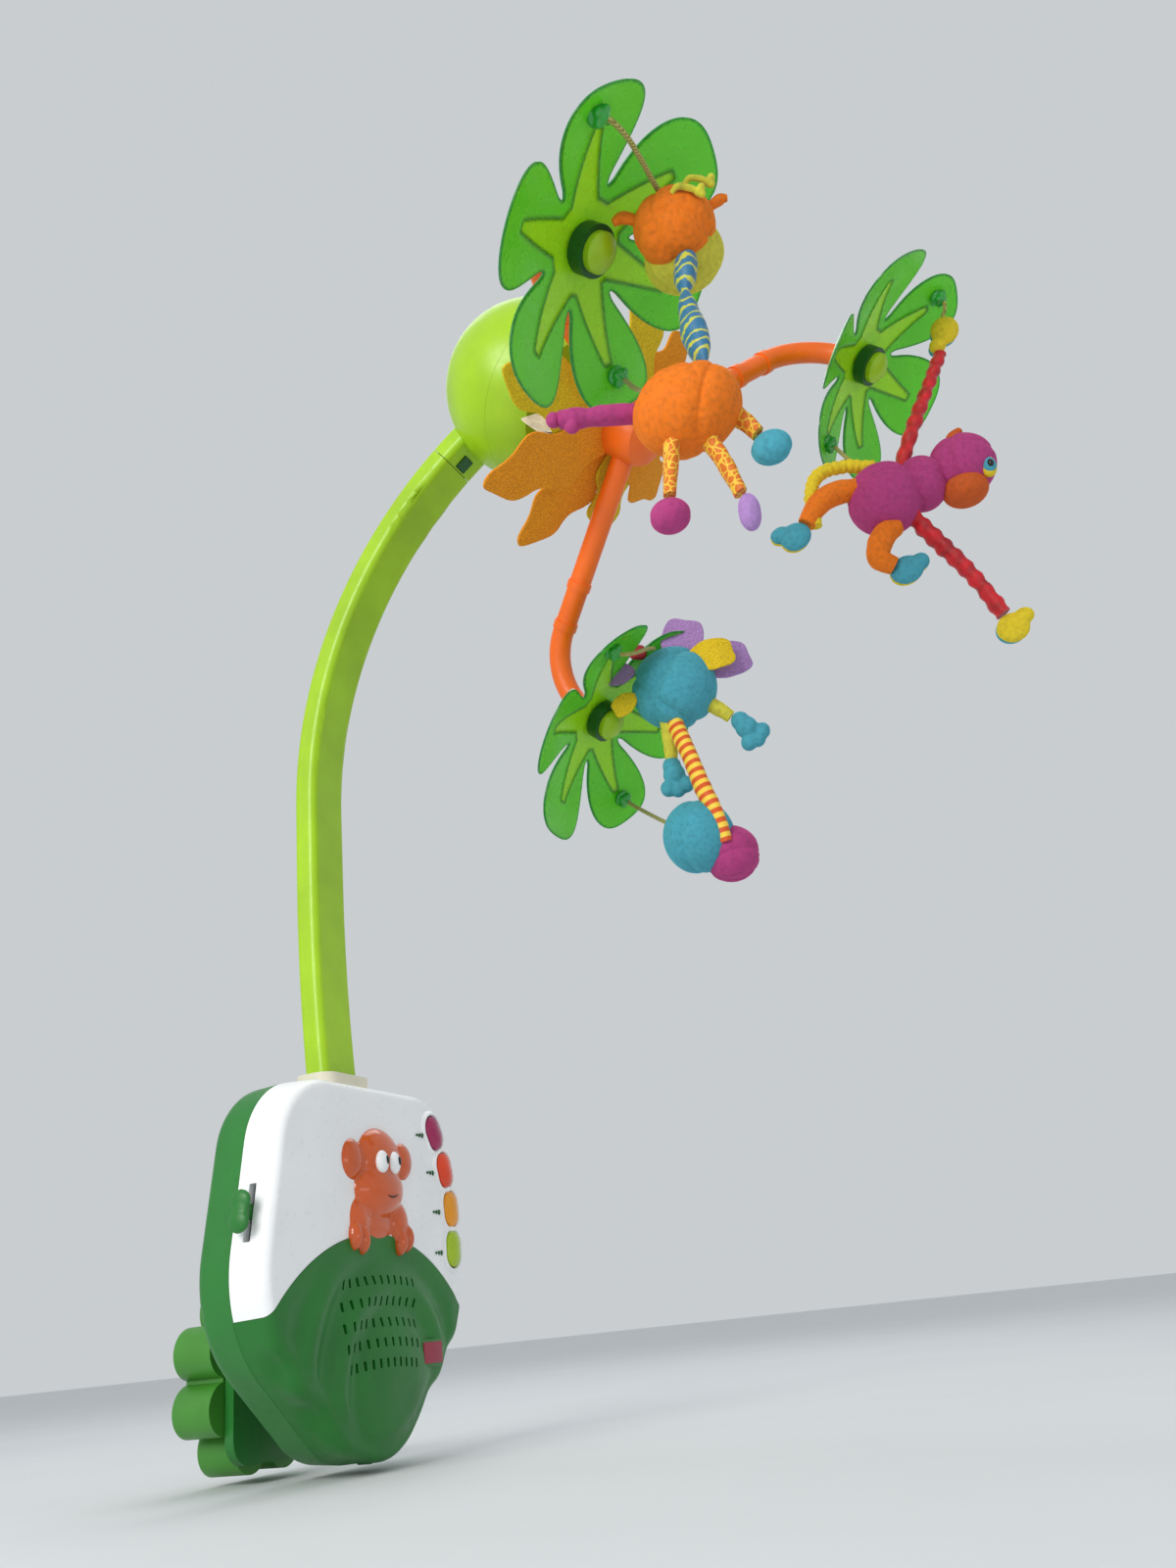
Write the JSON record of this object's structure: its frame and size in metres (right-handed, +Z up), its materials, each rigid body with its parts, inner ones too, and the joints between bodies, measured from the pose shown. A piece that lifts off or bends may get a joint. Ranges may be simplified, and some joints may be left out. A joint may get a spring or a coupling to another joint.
{
  "type": "crib mobile",
  "caption": "Musical mobile for a cot: rail clamp box with a curved arm, motor dome and a turning three-armed rotor of leaves with hanging plush animals.",
  "frame": {"origin": "on the clamp stud's axis, at the music box's back face, where the crib rail bears", "axes": "+Z up in use, +X to the right seen from the front, the front faces -Y and the clamp faces +Y"},
  "size_m": [0.3742, 0.4605, 0.6121],
  "materials": {
    "white_plastic": "satin moulded ABS",
    "lime_plastic": "satin moulded ABS",
    "green_plastic": "satin moulded ABS",
    "knob_green": "satin moulded ABS",
    "orange_plastic": "glossy moulded ABS",
    "magenta_plastic": "glossy",
    "amber_plastic": "glossy",
    "leaf_plastic": "translucent moulded polypropylene",
    "ivory_rubber": "soft matte",
    "steel": "plain",
    "battery": "satin",
    "board": "solder mask",
    "speaker_body": "satin",
    "gear_plastic": "natural acetal",
    "felt": "wool-look felt",
    "tag_fabric": "woven satin ribbon",
    "orange_fleece": "short-pile fleece",
    "magenta_fleece": "short-pile fleece",
    "teal_fleece": "short-pile fleece",
    "lilac_felt": "felt",
    "red_satin": "gathered satin",
    "blue_satin": "printed satin",
    "striped_cotton": "printed cotton",
    "cord_yarn": "twisted polyester cord"
  },
  "bodies": {
    "base": {"front_shell": "white_plastic", "hill_panel": "lime_plastic", "rear_shell": "lime_plastic", "battery_door": "lime_plastic", "battery_cells": "battery", "speaker": "speaker_body", "circuit_board": "board", "relief_figure": "orange_plastic", "relief_eyes": "white_plastic", "arm_collar": "ivory_rubber", "case_screws": "steel", "clamp_stud": "white_plastic", "arm_front_shell": "lime_plastic", "arm_rear_shell": "lime_plastic", "arm_plug": "green_plastic", "dome_rear_shell": "lime_plastic", "dome_front_cover": "lime_plastic", "motor": "steel"},
    "button_1": {"button_1": "magenta_plastic"},
    "button_2": {"button_2": "orange_plastic"},
    "button_3": {"button_3": "amber_plastic"},
    "button_4": {"button_4": "lime_plastic"},
    "volume_slider": {"volume_slider": "lime_plastic"},
    "lock_tab": {"lock_tab": "green_plastic"},
    "clamp_plate": {"clamp_plate": "lime_plastic"},
    "clamp_knob": {"clamp_knob": "knob_green"},
    "pinion": {"motor_pinion": "gear_plastic"},
    "rotor": {"drive_gear": "gear_plastic", "rotor_hub": "lime_plastic", "spider_arm_1": "orange_plastic", "spider_arm_2": "orange_plastic", "spider_arm_3": "orange_plastic", "foliage": "felt", "care_tag": "tag_fabric", "leaf_post_1": "green_plastic", "leaf_post_2": "green_plastic", "leaf_post_3": "green_plastic", "leaf_cap_1": "lime_plastic", "leaf_cap_2": "lime_plastic", "leaf_cap_3": "lime_plastic"},
    "leaf_1": {"leaf_1": "leaf_plastic"},
    "leaf_2": {"leaf_2": "leaf_plastic"},
    "leaf_3": {"leaf_3": "leaf_plastic"},
    "giraffe": {"giraffe_head": "orange_fleece", "giraffe_neck": "blue_satin", "giraffe_body": "orange_fleece", "giraffe_limbs": "magenta_fleece", "cord_1a": "cord_yarn", "cord_1b": "cord_yarn"},
    "monkey": {"monkey_head": "magenta_fleece", "monkey_body": "magenta_fleece", "monkey_limbs": "red_satin", "cord_2a": "cord_yarn", "cord_2b": "cord_yarn"},
    "bird": {"bird_body": "teal_fleece", "bird_head": "teal_fleece", "bird_neck": "striped_cotton", "bird_trim": "lilac_felt", "cord_3a": "cord_yarn", "cord_3b": "cord_yarn"}
  },
  "joints": [
    {"name": "button_1_press", "type": "slide", "parent": "base", "child": "button_1", "axis": [0, 1, 0], "range_m": [0, 0.0015], "stiffness_N_per_m": 300},
    {"name": "button_2_press", "type": "slide", "parent": "base", "child": "button_2", "axis": [0, 1, 0], "range_m": [0, 0.0015], "stiffness_N_per_m": 300},
    {"name": "button_3_press", "type": "slide", "parent": "base", "child": "button_3", "axis": [0, 1, 0], "range_m": [0, 0.0015], "stiffness_N_per_m": 300},
    {"name": "button_4_press", "type": "slide", "parent": "base", "child": "button_4", "axis": [0, 1, 0], "range_m": [0, 0.0015], "stiffness_N_per_m": 300},
    {"name": "volume_slide", "type": "slide", "parent": "base", "child": "volume_slider", "axis": [0.1392, 0, 0.9903], "range_m": [-0.008, 0.008]},
    {"name": "lock_tab_press", "type": "slide", "parent": "base", "child": "lock_tab", "axis": [0, 0.5678, 0.8231], "range_m": [0, 0.0015], "stiffness_N_per_m": 300},
    {"name": "clamp_slide", "type": "slide", "parent": "base", "child": "clamp_plate", "axis": [0, 1, 0], "range_m": [-0.012, 0.005]},
    {"name": "knob_turn", "type": "hinge", "parent": "clamp_plate", "child": "clamp_knob", "pos_m": [0, 0.03, 0], "axis": [0, 1, 0], "range_deg": [-1082, 452]},
    {"name": "rotor_spin", "type": "hinge", "parent": "base", "child": "rotor", "pos_m": [0, -0.1715, 0.5171], "axis": [0, -0.7193, -0.6947], "continuous": true},
    {"name": "pinion_spin", "type": "hinge", "parent": "base", "child": "pinion", "pos_m": [0.03, -0.1715, 0.5171], "axis": [0, -0.7193, -0.6947], "continuous": true},
    {"name": "leaf_1_turn", "type": "hinge", "parent": "rotor", "child": "leaf_1", "pos_m": [-0.1543, -0.2687, 0.4435], "axis": [0, -0.7193, -0.6947], "range_deg": [-20, 20]},
    {"name": "leaf_2_turn", "type": "hinge", "parent": "rotor", "child": "leaf_2", "pos_m": [0.0898, -0.3463, 0.5239], "axis": [0, -0.7193, -0.6947], "range_deg": [-20, 20]},
    {"name": "leaf_3_turn", "type": "hinge", "parent": "rotor", "child": "leaf_3", "pos_m": [0.0645, -0.1606, 0.3317], "axis": [0, -0.7193, -0.6947], "range_deg": [-20, 20]},
    {"name": "giraffe_swing", "type": "hinge", "parent": "leaf_1", "child": "giraffe", "pos_m": [-0.15435, -0.2828, 0.4299], "axis": [-0.8572, -0.358, 0.3702], "range_deg": [-25, 10]},
    {"name": "monkey_swing", "type": "hinge", "parent": "leaf_2", "child": "monkey", "pos_m": [0.08975, -0.3604, 0.5103], "axis": [0.0991, -0.6912, 0.7158], "range_deg": [-25, 20]},
    {"name": "bird_swing", "type": "hinge", "parent": "leaf_3", "child": "bird", "pos_m": [0.06455, -0.17475, 0.31805], "axis": [-0.8433, -0.3729, 0.387], "range_deg": [-25, 1.5]}
  ],
  "couplings": [
    {"joint": "knob_turn", "follows": "clamp_slide", "rad_per_m": 1570.8},
    {"joint": "pinion_spin", "follows": "rotor_spin", "ratio": -4}
  ]
}
